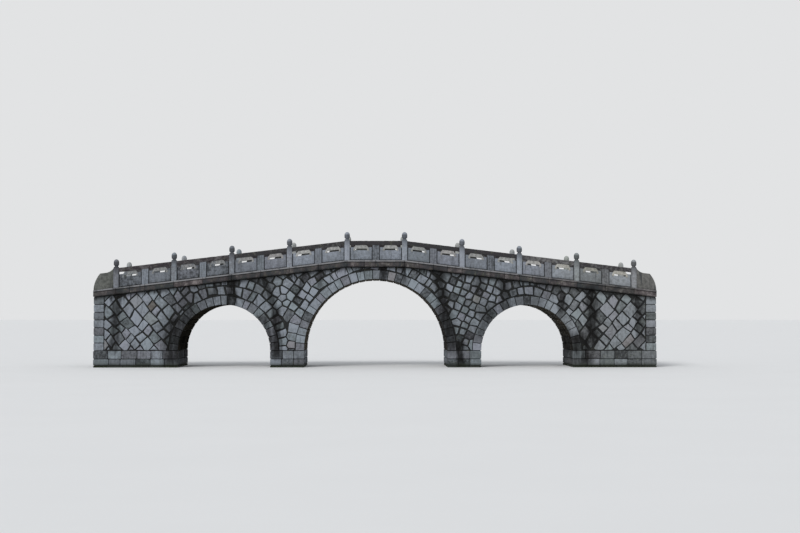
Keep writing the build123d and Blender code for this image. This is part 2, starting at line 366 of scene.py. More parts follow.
def weathered_and_shaded(
    nodes, colour, place, mottle, cloudy, dark, streaks=0.5, lichen=0.15, stain=0, soot=0, damp=0,
    grime=0, knob_grime=0, lip=None, east=None,
):
    """The granite's colour under what lies on it and under painted shade and painted highlight, each layer
    over the one before.
    """
    along, _, height = nodes.parts(place)
    depth = nodes.group(below_deck, place)
    if east:
        turned = nodes.step(along, EAST, EAST + EAST_REACH)
        colour = nodes.mix(turned, colour, nodes.mix(1, colour, east, "MULTIPLY"))
    runs = nodes.noise(nodes.stretched(place, (6, 6, 0.7)), 1.5, 6, 0.7)
    runs = nodes.step(runs, 0.53, 0.66, 0, streaks)
    colour = nodes.mix(runs, colour, dark)
    patches = nodes.step(nodes.noise(place, 7.5, 5, 0.7), 0.56, 0.66, 0, lichen)
    colour = nodes.mix(patches, colour, LICHEN)
    if lip:
        # A painted shadow line in the groove under the cornice's lip, and a painted highlight on the lip
        # above it
        groove = nodes.distance(depth, LIP_GROOVE)
        colour = nodes.mix(nodes.step(groove, 0.030, 0.012, 0, 0.7), colour, STAIN_AND_SHADE)
        kept = nodes.step(along, EAST - 2, EAST + EAST_REACH, 0.92, 0.30)
        kept = nodes.times(kept, nodes.step(depth, LIP_GROOVE - 0.012, LIP_GROOVE - 0.020))
        kept = nodes.times(kept, nodes.step(cloudy, -0.30, -0.05, 0.45, 1))
        colour = nodes.mix(kept, colour, lip)
    # Painted shade in the corners beside posts and pilasters and along the panels' feet
    if grime:
        corners = nodes.times(nodes.group(bay_grime, place), grime)
        foot = nodes.step(depth, -0.050, -0.015, 0, grime)
        colour = nodes.mix(nodes.math("MAXIMUM", corners, foot), colour, STAIN_AND_SHADE)
    # Painted shade on the posts' upper shafts and knob bellies, fading out at the lit tips
    if knob_grime:
        knob_shading = nodes.step(depth, KNOB_SHADE_FROM, KNOB_SHADE_FULL, 0, knob_grime)
        knob_shading = nodes.times(knob_shading, nodes.step(depth, LIT_KNOB_TIP, LIT_KNOB_TIP + 0.08))
        knob_shading = nodes.times(knob_shading, nodes.step(mottle, 0.30, 0.60, 0.7, 1))
        colour = nodes.mix(knob_shading, colour, STAIN_AND_SHADE)
    # A painted shadow band under the cornice
    if soot:
        near = nodes.minus(nodes.scaled(runs, 0.35, 0.12 + CORNICE), depth)
        colour = nodes.mix(nodes.step(near, -0.12, 0.12, 0, soot), colour, STAIN_AND_SHADE)
    # The gutters' black stains, with painted shadow under the right end's cornice
    if stain:
        colour = nodes.mix(nodes.times(nodes.group(stain_map, place), stain), colour, STAIN_AND_SHADE)
    if damp:
        edge = nodes.scaled(mottle, 0.24, 0.02)
        wet = nodes.step(nodes.minus(edge, height), -0.08, 0.10, 0, damp)
        colour = nodes.mix(wet, colour, nodes.mix(0.4, STAIN_AND_SHADE, MOSS))
    return colour


def start_material(name):
    """A new material, its nodes, its shader's inputs and the place of each point."""
    material = bpy.data.materials.new(name)
    material.use_nodes = True
    nodes = Nodes(material.node_tree)
    shader = material.node_tree.nodes["Principled BSDF"].inputs
    return material, nodes, shader, nodes.add("TexCoord").node.outputs["Object"]


def stone_material(name, colours, hues=0.4, blotches=(1.1, 0.4), bump=0.5, shine=0.06, **weather_and_shade):
    """Granite with its tone from stone to stone, mottling, crystals and hewn relief, and its weather, painted
    shade and painted highlight.
    """
    pale, grey, dark = colours
    material, nodes, shader, place = start_material(name)
    marks = nodes.add("Attribute", attribute_name="stone").node.outputs["Vector"]
    tone, warmth, phase = nodes.parts(marks)
    apart = nodes.add("CombineXYZ", phase, phase, phase)
    own_place = nodes.add("VectorMath", apart, GRAIN_SHIFT, place, operation="MULTIPLY_ADD")
    mottle = nodes.noise(own_place, 9, 6, 0.68)
    grain = nodes.noise(own_place, 48, 3, 0.6)
    crystals = nodes.add("TexVoronoi", own_place, None, 85)
    blotch_scale, blotch_strength = blotches
    cloudy = nodes.noise(place, blotch_scale, 4, 0.6)
    cloudy = nodes.times(nodes.minus(cloudy, 0.5), blotch_strength)

    lightness = nodes.step(mottle, 0.35, 0.65, -0.15, 0.15)
    lightness = nodes.math("ADD", nodes.math("ADD", lightness, tone), cloudy)
    colour = nodes.mix(nodes.step(lightness, 0.0, 0.45), dark, grey)
    colour = nodes.mix(nodes.step(lightness, 0.4, 0.95), colour, pale)
    colour = nodes.mix(nodes.step(warmth, 0.80, 0.97, 0, 0.42), colour, TAN_STONE)
    tint = nodes.mix(nodes.step(phase, 0.36, 0.05), PLAIN, GREEN_TINT)
    tint = nodes.mix(nodes.step(phase, 0.66, 0.95), tint, PURPLE_TINT)
    colour = nodes.mix(hues, colour, nodes.mix(1, colour, tint, "MULTIPLY"))
    speckle = nodes.scaled(grain, 0.5, 0.75)
    speckle = nodes.times(speckle, nodes.step(crystals, 0.1, 0.45, 0.86, 1.04))
    colour = nodes.mix(1, colour, speckle, "MULTIPLY")
    colour = weathered_and_shaded(nodes, colour, place, mottle, cloudy, dark, **weather_and_shade)

    relief = nodes.scaled(crystals, 0.12, nodes.scaled(grain, 0.35, mottle))
    raised = nodes.add("Bump").node
    nodes.feed([raised.inputs[socket] for socket in ("Strength", "Distance", "Height")], (bump, 0.02, relief))
    roughness = nodes.step(mottle, 0.3, 0.7, 0.95, 0.78)
    sockets = [shader[socket] for socket in ("Base Color", "Roughness", "Specular IOR Level", "Normal")]
    nodes.feed(sockets, (colour, roughness, shine, raised.outputs[0]))
    return material


GRANITE = (PALE_GRANITE, GREY_GRANITE, DARK_GRANITE)
PANEL_GRANITE = (PANEL_PALE, PANEL_GREY, DARK_GRANITE)
WARMER_EAST = {"east": EAST_BALUSTRADE, "hues": 0.2}

# The masonry's materials carry a painted shadow band under the cornice
rubble_stone = stone_material(
    "rubble_stone", GRANITE, stain=0.93, streaks=0.45, soot=0.85, damp=0.3, east=EAST_MASONRY
)
ring_stone = stone_material(
    "ring_stone", GRANITE, stain=0.9, streaks=0.4, lichen=0.1, soot=0.5, east=EAST_MASONRY
)
# The soffits' brown stain with painted shade
shaded_soffit_stone = stone_material(
    "shaded_soffit_stone", (SHADED_SOFFIT_BROWN, SHADED_SOFFIT_BROWN, SHADED_SOFFIT_DARK), stain=0.95, streaks=0.7, lichen=0.05
)
# The left arch's soffit, in deeper painted shade
sooty_soffit = stone_material(
    "sooty_soffit", (DEEP_SHADE_SOFFIT_PALE, DEEP_SHADE_SOFFIT_PALE, DEEP_SHADE_SOFFIT_DARK), streaks=0.7, lichen=0.03, shine=0
)
pier_stone = stone_material(
    "pier_stone", GRANITE, stain=0.9, streaks=0.6, lichen=0.2, damp=0.9, east=EAST_MASONRY
)
joint_mortar = stone_material(
    "joint_mortar", (STAIN_AND_SHADE, MORTAR, STAIN_AND_SHADE), stain=0.9, streaks=0.3, lichen=0.12, soot=0.6, bump=0.9
)
cornice_stone = stone_material(
    "cornice_stone",
    (CORNICE_PALE, CORNICE_GREY, DARK_GRANITE),
    blotches=(3.0, 2.4),
    stain=0.6,
    streaks=0.9,
    lichen=0.2,
    lip=LIP_HIGHLIGHT,
)
paving_stone = stone_material("paving_stone", (PAVING_PALE, PAVING_GREY, CORNICE_GREY))
rail_stone = stone_material("rail_stone", (RAIL_PALE, RAIL_GREY, DARK_GRANITE), lichen=0.2)
# The panels take painted shade in their corners and along their feet
panel_stone = stone_material(
    "panel_stone", PANEL_GRANITE, streaks=0.4, lichen=0.1, grime=0.85, **WARMER_EAST
)
pilaster_stone = stone_material("pilaster_stone", PANEL_GRANITE, **WARMER_EAST)
cloud_stone = stone_material(
    "cloud_stone", (CLOUD_PALE, CLOUD_GREY, GREY_GRANITE), streaks=0.3, lichen=0.1, **WARMER_EAST
)
# Painted shade for the cloud steps' faces towards the deck
shaded_stone = stone_material("shaded_stone", (SHADED_PALE, SHADED_GREY, STAIN_AND_SHADE), streaks=0.3, lichen=0.1)
wing_stone = stone_material("wing_stone", (WING_PALE, WING_GREY, DARK_GRANITE), streaks=0.85, lichen=0.08)
# The near posts take painted shade on their upper shafts and knob bellies
post_stone = stone_material(
    "post_stone", (POST_PALE, POST_GREY, DARK_GRANITE), streaks=0.35, knob_grime=0.65, **WARMER_EAST
)
# The far posts' stone: a paler copy of the posts', painted as lit
lit_far_post_stone = stone_material(
    "lit_far_post_stone", (LIT_FAR_POST_PALE, POST_PALE, DARK_GRANITE), streaks=0.3, lichen=0.1
)


def new_object(name, data):
    """A new object in the scene."""
    made = bpy.data.objects.new(name, data)
    bpy.context.scene.collection.objects.link(made)
    return made


class Piece:
    """A mesh piece that is laid stone by stone, each point marked with its stone's look."""

    def __init__(self):
        self.points = []
        self.faces = []
        self.marks = []
        self.materials = []

    def add(self, points, faces, look, material=0):
        """Lay one more stone."""
        start = len(self.points)
        self.points += points
        self.faces += [[start + index for index in face] for face in faces]
        self.marks += [look] * len(points)
        self.materials += [material] * len(faces)

    def loft(self, rings, look, material=0):
        """A closed shell through rings with the same number of points, its ends closed by fans."""
        count = len(rings[0])
        points = [point for ring in rings for point in ring]
        faces = []
        for ring in range(len(rings) - 1):
            for index in range(count):
                here = ring * count + index
                after = ring * count + (index + 1) % count
                faces.append((here, after, after + count, here + count))
        for first, ring in ((0, rings[0]), ((len(rings) - 1) * count, rings[-1])):
            centre = len(points)
            points.append(sum((Vector(point) for point in ring), Vector()) / count)
            faces += [(first + index, first + (index + 1) % count, centre) for index in range(count)]
        self.add([tuple(point) for point in points], faces, look, material)

    def finish(self, name, materials, slot, node, sharp=38):
        """The piece, kept inside the CAD box, as an object that rides on root and stands for its node."""
        low, high = cad_box
        inside = []
        for point in self.points:
            inside.append([min(max(place, low[axis]), high[axis]) for axis, place in enumerate(point)])
        mesh = bpy.data.meshes.new(name)
        mesh.from_pydata(inside, [], self.faces)
        marks = mesh.attributes.new("stone", "FLOAT_VECTOR", "POINT")
        marks.data.foreach_set("vector", [value for look in self.marks for value in look])
        mesh.polygons.foreach_set("material_index", self.materials)
        for material in materials:
            mesh.materials.append(material)
        shape = bmesh.new()
        shape.from_mesh(mesh)
        bmesh.ops.remove_doubles(shape, verts=shape.verts, dist=0.00002)
        bmesh.ops.recalc_face_normals(shape, faces=shape.faces)
        shape.to_mesh(mesh)
        shape.free()
        mesh.shade_smooth()
        mesh.set_sharp_from_angle(angle=math.radians(sharp))
        piece = new_object(name, mesh)
        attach(piece, "root")
        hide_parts(node)


def between(start, end, share):
    """The point at a share of the way from start to end."""
    return start[0] + (end[0] - start[0]) * share, start[1] + (end[1] - start[1]) * share


def rectangle(left, foot, right, head):
    """A rectangle's corners, anticlockwise."""
    return [(left, foot), (right, foot), (right, head), (left, head)]


def mirrored(points):
    """Points on the right, and their mirror images back to the start."""
    return points + [(-u, v) for u, v in reversed(points)]


def sides(polygon):
    """Each side of a polygon, as its start and end."""
    return zip(polygon, polygon[1:] + polygon[:1])


def pairs(levels):
    """Each two neighbours in a row of levels."""
    return zip(levels, levels[1:])


def clip(polygon, point, normal):
    """The part of a convex polygon behind a line, given by a point on it and its outward normal."""
    kept = []
    for start, end in sides(polygon):
        a, b = [(x - point[0]) * normal[0] + (z - point[1]) * normal[1] for x, z in (start, end)]
        if a <= 0:
            kept.append(start)
        if a * b < 0:
            kept.append(between(start, end, a / (a - b)))
    return kept


def shrink(polygon, margin):
    """An anticlockwise convex polygon with each side moved inwards."""
    kept = list(polygon)
    for (ax, ay), (bx, by) in sides(polygon):
        length = math.hypot(bx - ax, by - ay)
        if length > 0.0001 and kept:
            normal = ((by - ay) / length, (ax - bx) / length)
            kept = clip(kept, (ax - normal[0] * margin, ay - normal[1] * margin), normal)
    return kept


def area(polygon):
    """A polygon's area, above zero where it runs anticlockwise."""
    return sum(ax * by - bx * ay for (ax, ay), (bx, by) in sides(polygon)) / 2


def soften(polygon, cut):
    """A polygon with each corner worn off to two points."""
    worn = []
    for before, corner, after in zip(polygon[-1:] + polygon[:-1], polygon, polygon[1:] + polygon[:1]):
        for other in (before, after):
            length = math.dist(corner, other)
            worn.append(between(corner, other, min(cut / length, 0.3) if length > 0 else 0))
    return worn


def ragged(polygon):
    """A polygon with points added along its longer sides, so that they can wear unevenly."""
    longest = 0.14
    points = []
    for start, end in sides(polygon):
        count = max(1, round(math.dist(start, end) / longest))
        points += [between(start, end, step / count) for step in range(count)]
    return points


def centre_of(polygon):
    """The middle of a polygon's points."""
    count = len(polygon)
    return sum(point[0] for point in polygon) / count, sum(point[1] for point in polygon) / count


def drawn_in(polygon, margin):
    """A polygon's points moved towards its middle by a margin, or by their share of a small one."""
    middle = centre_of(polygon)
    points = []
    for point in polygon:
        reach = math.dist(point, middle)
        points.append(between(middle, point, 1 - min(margin / reach, 0.7) if reach > 0 else 1))
    return points


def wobble(point, size, pitch=9.0):
    """A small seeded move that wears a point, the same wherever it is asked for."""
    return noise.noise(Vector(point) * pitch) * size


def stone(piece, polygon, low, high, place, look, edge=0.012, rough=0.004, dome=0.004, cuts=0):
    """A dressed stone: a polygon drawn out from low to high in cuts, its arrises worn and ends hewn."""
    rings = [(low, edge), (low + edge, 0)]
    rings += [(low + (high - low) * step / (cuts + 1), 0) for step in range(1, cuts + 1)]
    rings += [(high - edge, 0), (high - edge * 0.3, edge * 0.4), (high, edge * 1.4)]
    if dome:
        rings.append((high + dome, edge * 5))
    phase = look[2]
    shaped = []
    for depth, margin in rings:
        ring = []
        for u, v in drawn_in(polygon, margin):
            du = wobble((u, v, depth + phase * 7), rough)
            dv = wobble((v, u, depth + phase * 5), rough)
            dw = min(wobble((u, depth, v), rough * 1.6), 0) if depth >= high - edge else 0
            ring.append(place(u + du, v + dv, depth + dw))
        shaped.append(ring)
    piece.loft(shaped, look)


def towards(side, end=1):
    """Maps an outline in a face and the way out of it to the frame, for a side and end of the bridge."""
    return lambda u, v, w: (end * u, side * w, v)


def out_of_end(end):
    """Maps an outline across the bridge and the way out of one of its ends to the frame."""
    return lambda u, v, w: (end * w, u, v)


def on_deck_line(side):
    """Maps outward distance, height over the deck and place along the bridge to the frame."""
    return lambda u, v, w: (w, side * u, deck(w) + v)


def a_look(chance, low=0.35, high=0.85, dark_share=0.12, warm_share=0.04, shift=0):
    """A stone's tone, warmth and the phase of its own grain."""
    tone = chance.uniform(low, high)
    if chance.random() < dark_share:
        tone *= DARK_STONE
    warmth = chance.uniform(0.86, 1) if chance.random() < warm_share else 0
    return tone + shift, warmth, chance.random()


def even_look(chance, low, high, shift=0):
    """The look of a stone in work where none is dark or warm."""
    return a_look(chance, low, high, 0, 0, shift)


def under_stain(look, black, share):
    """A stone's look, darker and less warm by how black the stain and painted shadow on it are."""
    tone, warmth, phase = look
    return tone * (1 - share * black), warmth * (1 - black), phase


def stain_at(x, z):
    """How black the stains and painted shadow are at a stone's middle, from 0 to 1."""
    total = 0
    for foot_x, foot_z, top_x, top_z, half_width, black in STAINS_AND_SHADOW:
        if foot_z - 0.1 < z < top_z + 0.1:
            centre = foot_x + (top_x - foot_x) * (z - foot_z) / (top_z - foot_z)
            total = max(total, black * min(1, max(0, 1.6 - abs(x - centre) / half_width)))
    return total


def spread(chance, start, end, pitch, play=0.25):
    """Joint places from start to end at about a pitch, with play."""
    count = max(1, round((end - start) / pitch))
    step = (end - start) / count
    inner = [start + step * (number + chance.uniform(-play, play) * 0.5) for number in range(1, count)]
    return [start, *inner, end]


def eased(start, end, low, high, gap):
    """A stretch drawn in by a gap at each end that isn't at the limit, low or high."""
    return start + gap * (start > low), end - gap * (end < high)


def wall_lines(limit):
    """Points and outward normals of the straight lines that bound the rubble."""
    length = math.hypot(1, SLOPE)
    foot = CROWN - CORNICE
    return [
        ((0, foot), (0, 1)),
        ((FLAT, foot), (SLOPE / length, 1 / length)),
        ((-FLAT, foot), (-SLOPE / length, 1 / length)),
        ((0, SPRINGING), (0, -1)),
        ((limit, 0), (1, 0)),
        ((-limit, 0), (-1, 0)),
    ]


def at_turn(centre_x, out, turn):
    """The place at a turn round the middle of an arch's springing, and so far out."""
    return centre_x + math.cos(turn) * out, SPRINGING + math.sin(turn) * out


def ring_gap(x, z, arch):
    """How far a place is outside the back of a ring."""
    centre_x, radius, _ = arch
    return math.hypot(x - centre_x, z - SPRINGING) - radius - RING_DEPTH


def warped(x, z):
    """A place moved by a smooth seeded drift, which makes laid rows irregular without overlaps."""
    pitch = 1.9
    reach = 0.13
    drift_x, drift_z = [noise.noise(Vector((x, z, level)) * pitch) * reach for level in (3.1, 8.7)]
    return x + drift_x, z + drift_z


def system_at(x, z):
    """Which way the rubble is laid at a place: round a ring, in diamonds, or loosely."""
    nearest = min(ARCHES, key=lambda name: ring_gap(x, z, ARCHES[name]))
    if abs(x) > DIAMONDS_FROM and ring_gap(x, z, ARCHES[nearest]) > -0.1:
        return "diamonds"
    if LOOSE_FROM < x < LOOSE_TO:
        return "loose"
    return nearest


def row_stones(chance, name):
    """Four-sided stones in rows round a ring, the first row behind the left ring being a tall one."""
    centre_x, radius, _ = ARCHES[name]
    reach = radius + RING_DEPTH
    row_count = 16
    stones = []
    for row in range(row_count):
        depth = TALL_ROW if name == "left" and row == 0 else RUBBLE * chance.uniform(0.92, 1.12)
        count = round(math.pi * (reach + depth / 2) / RUBBLE)
        start = chance.random()
        places = [number + start + chance.uniform(-0.24, 0.24) for number in range(-2, count + 2)]
        turns = [math.pi * place / count for place in places]
        for first, last in pairs(turns):
            corners = [(reach, first), (reach + depth, first), (reach + depth, last), (reach, last)]
            stones.append((name, [warped(*at_turn(centre_x, out, turn)) for out, turn in corners]))
        reach += depth
    return stones


def grown(chance, start, end, least, most):
    """Levels from a start past an end, each a seeded step further than the one before."""
    levels = [start + chance.random()]
    while levels[-1] < end:
        levels.append(levels[-1] + chance.uniform(least, most))
    return levels


def diamond_stones(chance):
    """Four-sided stones on a slanted grid, past the side arches."""
    pitch = RUBBLE * 1.06
    rise = math.radians(50)
    back_rise = rise * 0.92
    middle_x = SIDE_X + 2.6
    middle_z = 1.8
    low, high = -13, 14
    stones = []
    for end in ENDS.values():
        along = (end * math.cos(rise), math.sin(rise))
        across = (-end * math.cos(back_rise), math.sin(back_rise))
        levels = grown(chance, low, high, least=0.84, most=1.18)
        for foot, head in pairs(levels):
            steps = grown(chance, low, high, least=0.72, most=1.42)
            for first, last in pairs(steps):
                corners = []
                for step, level in rectangle(first, foot, last, head):
                    u = pitch * (step * along[0] + level * across[0])
                    v = pitch * (step * along[1] + level * across[1])
                    corners.append(warped(end * middle_x + u, middle_z + v))
                stones.append(("diamonds", corners if end > 0 else corners[::-1]))
    return stones


def loose_stones(chance):
    """Middles of small stones on a slanted grid over the right pier, which get their outlines later."""
    slant = math.radians(-24)
    middle_x = MIDDLE_RADIUS + 1.2
    middle_z = SPRINGING + 1.4
    reach = 12
    stones = []
    for row in range(-reach, reach + 1):
        for number in range(-reach, reach + 1):
            u = (number + chance.uniform(-0.17, 0.17)) * LOOSE_STONE
            v = (row + chance.uniform(-0.14, 0.14)) * LOOSE_STONE
            x = middle_x + u * math.cos(slant) - v * math.sin(slant)
            z = middle_z + u * math.sin(slant) + v * math.cos(slant)
            stones.append(("loose", [(x, z)]))
    return stones


def rubble_seeds(chance, limit):
    """The rubble stones in the wall: middle, way of laying and outline, which may reach past its edges."""
    least_gap = 0.2
    stones = []
    for name in ARCHES:
        stones += row_stones(chance, name)
    seeds = []
    for system, corners in stones + diamond_stones(chance) + loose_stones(chance):
        x, z = centre_of(corners)
        past = -0.03 if system == "loose" else 0.15
        gap = min(ring_gap(x, z, arch) for arch in ARCHES.values())
        inside = abs(x) < limit + past and SPRINGING - past < z < deck(x) - CORNICE + past and gap > -past
        if inside and system_at(x, z) == system:
            if all(seed[1] == system or math.dist((x, z), seed[0]) > least_gap for seed in seeds):
                seeds.append(((x, z), system, corners))
    return seeds


def rubble_cells(chance, limit):
    """Convex outlines of the rubble stones, kept clear of the rings, the cornice and the quoins."""
    seeds = rubble_seeds(chance, limit)
    meeting_reach = 0.5
    cell_reach = 0.5
    ring_reach = 1.2
    shared = set()
    for middle, system, _ in seeds:
        others = [seed[0] for seed in seeds if seed[1] != system]
        if system == "loose" or any(math.dist(other, middle) < meeting_reach for other in others):
            shared.add(middle)
    cells = []
    for middle, system, corners in seeds:
        x, z = middle
        cell = corners
        if middle in shared:
            cell = rectangle(x - cell_reach, z - cell_reach, x + cell_reach, z + cell_reach)
        for point, normal in wall_lines(limit):
            cell = clip(cell, point, normal)
        for arch in ARCHES.values():
            centre_x, radius, _ = arch
            if ring_gap(x, z, arch) < ring_reach:
                turn = math.atan2(z - SPRINGING, x - centre_x)
                back = at_turn(centre_x, radius + RING_DEPTH, turn)
                cell = clip(cell, back, (-math.cos(turn), -math.sin(turn)))
        for other, _, _ in seeds:
            gap = math.dist(other, middle)
            if 0 < gap < 2 * cell_reach and (middle in shared or other in shared):
                normal = ((other[0] - x) / gap, (other[1] - z) / gap)
                cell = clip(cell, between(middle, other, 0.5), normal)
        cells.append((system, cell))
    return cells


def lay_quoins(wall, side, chance):
    """Squared corner stones, alternately long and short round the corner."""
    levels = spread(chance, SPRINGING, WALL_TOP, QUOIN_COURSE, play=0)
    near = END_X - QUOIN
    for end in ENDS.values():
        for number, (foot, head) in enumerate(pairs(levels)):
            corners = rectangle(near, foot, END_X, head)
            if head == WALL_TOP:
                corners[3] = (near, deck(near) - CORNICE)
            outline = soften(shrink(corners, JOINT * 0.7), DRESSING)
            low = FACE - QUOIN_DEPTHS[number % 2]
            stone(wall, outline, low, FACE, towards(side, end), a_look(chance), dome=0)


def lay_wall(wall, side, chance):
    """A spandrel wall's face: rubble laid in its several ways, and quoins at the two ends."""
    least_cell = 0.006
    least_stone = 0.003
    for system, cell in rubble_cells(chance, END_X - QUOIN):
        if len(cell) < 3 or area(cell) < least_cell:
            continue
        loose = system == "loose"
        black = stain_at(*centre_of(cell))
        hewn = shrink(cell, RUBBLE_JOINT / 2 * (chance.uniform(0.6, 1.5) + black + 0.2 * loose))
        if len(hewn) < 3 or area(hewn) < least_stone:
            continue
        look = a_look(chance, 0.6, 1.0, dark_share=0.13, shift=LOOSE_TONE * loose)
        outline = ragged(soften(hewn, chance.uniform(0.004, 0.018)))
        top = FACE + chance.uniform(-0.010, 0.004)
        look = under_stain(look, black, 0.65)
        stone(wall, outline, FACE - RUBBLE_DEPTH, top, towards(side), look, rough=0.022)
    lay_quoins(wall, side, chance)


def lay_arch(name, chance):
    """A ring of voussoirs, each course in the vault laid from several blocks."""
    centre_x, radius, count = ARCHES[name]
    ring = Piece()
    wedge = math.pi / count
    bounds = [wedge * (number + chance.uniform(-0.10, 0.10)) for number in range(1, count)]
    bounds = [0, *bounds, math.pi]
    for number, (start, end) in enumerate(pairs(bounds)):
        half_joint = RING_JOINT / 2 * chance.uniform(0.6, 1.5)
        back = (radius + RING_DEPTH - chance.uniform(0, 0.03)) / math.cos(wedge / 2)
        turns = [start + half_joint / back, end - half_joint / back]
        outline = [at_turn(centre_x, back, turn) for turn in turns]
        inner_start = start + half_joint / radius
        inner_end = end - half_joint / radius
        turns = [inner_end + (inner_start - inner_end) * step / 3 for step in range(4)]
        outline += [at_turn(centre_x, radius, turn) for turn in turns]
        joints = spread(chance, -FACE, FACE, VAULT_BLOCK, play=0.5)
        if number % 2:
            moved = [joint + VAULT_BLOCK / 2 for joint in joints[:-1]]
            joints = [-FACE, *(joint for joint in moved if joint < FACE - 0.2), FACE]
        black = stain_at(*at_turn(centre_x, radius + RING_DEPTH / 2, (start + end) / 2))
        for near, far in pairs(joints):
            low = near + (JOINT / 2 if near > -FACE else chance.uniform(0, 0.008))
            high = far - (JOINT / 2 if far < FACE else chance.uniform(0, 0.008))
            look = under_stain(a_look(chance, 0.45, 0.95), black, 0.7)
            stone(ring, outline, low, high, towards(1), look, rough=0.006, dome=0)
    paint_soffit(ring)
    # The left arch's soffit gets the copy in deeper painted shade
    soffit = sooty_soffit if name == "left" else shaded_soffit_stone
    ring.finish(f"{name}_ring_stones", [ring_stone, soffit], "ring_stone", f"{name}_arch")


def paint_soffit(ring):
    """Give all but the ring's two faces the soffit's finish, brown stain with painted shade."""
    face_depth = 0.05
    soffit_finish = 1
    for index, face in enumerate(ring.faces):
        if min(abs(ring.points[corner][1]) for corner in face) < FACE - face_depth:
            ring.materials[index] = soffit_finish


def lay_course(piece, low_x, high_x, foot, head, chance, pitch):
    """One course of squared blocks round the four sides of a pier or abutment."""
    depths = {(side, end): chance.uniform(0.35, 0.6) for side in SIDES.values() for end in (0, 1)}
    gap = JOINT * 0.6

    def block(x0, x1, y0, y1):
        left, right = eased(x0, x1, low_x, high_x, gap)
        near, far = eased(y0, y1, -FACE, FACE, gap)
        outline = soften(rectangle(left, foot + gap * (foot > 0), right, head - gap), 0.018)
        look = a_look(chance, 0.3, 0.8, dark_share=0.2)
        stone(piece, outline, near, far, towards(1), look, rough=0.005, dome=0)

    for side in SIDES.values():
        joints = spread(chance, low_x, high_x, pitch)
        for number, (x0, x1) in enumerate(pairs(joints)):
            at_end = number in (0, len(joints) - 2)
            depth = depths[(side, min(number, 1))] if at_end else COURSE_DEPTH
            block(x0, x1, *sorted((side * FACE, side * (FACE - depth))))
    for end, (x0, x1) in enumerate(((low_x, low_x + COURSE_DEPTH), (high_x - COURSE_DEPTH, high_x))):
        joints = spread(chance, depths[(-1, end)] - FACE, FACE - depths[(1, end)], pitch * 1.2)
        for y0, y1 in pairs(joints):
            block(x0, x1, y0, y1)


def lay_courses(piece, inner_x, outer_x, chance, pitch):
    """Squared courses from the water to the springing, between two places along the bridge."""
    low_x, high_x = sorted((inner_x, outer_x))
    for foot, head in pairs(COURSES):
        lay_course(piece, low_x, high_x, foot, head, chance, pitch)


def lay_piers(chance):
    """The two piers."""
    for name, end in ENDS.items():
        pier = Piece()
        lay_courses(pier, end * pier_low.x, end * pier_high.x, chance, pitch=0.5)
        pier.finish(f"{name}_pier_stones", [pier_stone], "pier_stone", f"{name}_pier")


def lay_end_row(piece, end, reach, foot, head, chance, pitch, gap, wear, tones=(0.35, 0.85)):
    """A row of squared stones across an end of the bridge."""
    top = END_X - END_RECESS
    joints = spread(chance, -reach, reach, pitch)
    for near, far in pairs(joints):
        outline = soften(shrink(rectangle(near, foot, far, head), gap), wear)
        stone(piece, outline, END_X - END_DEPTH, top, out_of_end(end), a_look(chance, *tones))


def lay_abutments(chance):
    """The two abutments, with the coursed end walls that close the fill."""
    for name, end in ENDS.items():
        abutment = Piece()
        lay_courses(abutment, end * abutment_low.x, end * END_X, chance, pitch=0.6)
        levels = spread(chance, SPRINGING, WALL_TOP, QUOIN_COURSE, play=0)
        for number, (foot, head) in enumerate(pairs(levels)):
            reach = FACE - QUOIN_DEPTHS[number % 2]
            lay_end_row(abutment, end, reach, foot, head, chance, 0.45, gap=JOINT * 0.7, wear=DRESSING)
        foot = WALL_TOP + 0.01
        head = deck(END_X) - PAVING_DEPTH - 0.01
        sizes = {"pitch": 0.5, "gap": JOINT * 0.5, "wear": 0.012, "tones": (0.3, 0.7)}
        lay_end_row(abutment, end, cornice_low.y, foot, head, chance, **sizes)
        abutment.finish(f"{name}_abutment_stones", [pier_stone], "rubble_masonry", f"{name}_abutment")


def lay_core():
    """The mortar and hearting behind the faces, which shows as dark recessed joints."""
    inset = END_X - CORE_DEPTH
    below = 0.03
    turn_count = 48
    outline = mirrored([(-inset, 0), (-inset, deck(inset) - below), (-FLAT, CROWN - below)])
    for centre_x, radius, _ in reversed(ARCHES.values()):
        bare = radius + CORE_DEPTH
        outline.append((centre_x + bare, 0))
        outline += [at_turn(centre_x, bare, math.pi * step / turn_count) for step in range(turn_count + 1)]
        outline.append((centre_x - bare, 0))
    count = len(outline)
    reach = FACE - CORE_DEPTH
    points = [(x, y, z) for y in (-reach, reach) for x, z in outline]
    faces = [list(range(count)), list(range(count, 2 * count))]
    for index in range(count):
        after = (index + 1) % count
        faces.append((index, after, count + after, count + index))
    core = Piece()
    even_tone = (0.5, 0.2, 0.5)
    core.add(points, faces, even_tone)
    core.finish("mortar_core", [joint_mortar], "fill", "rubble_fill")


def deck_joints(parts):
    """Joint places along the deck, with each half bay in so many parts."""
    count = BAY_COUNT * parts
    return [-END_X, *(FLAT * number / parts for number in range(-count, count + 1)), END_X]


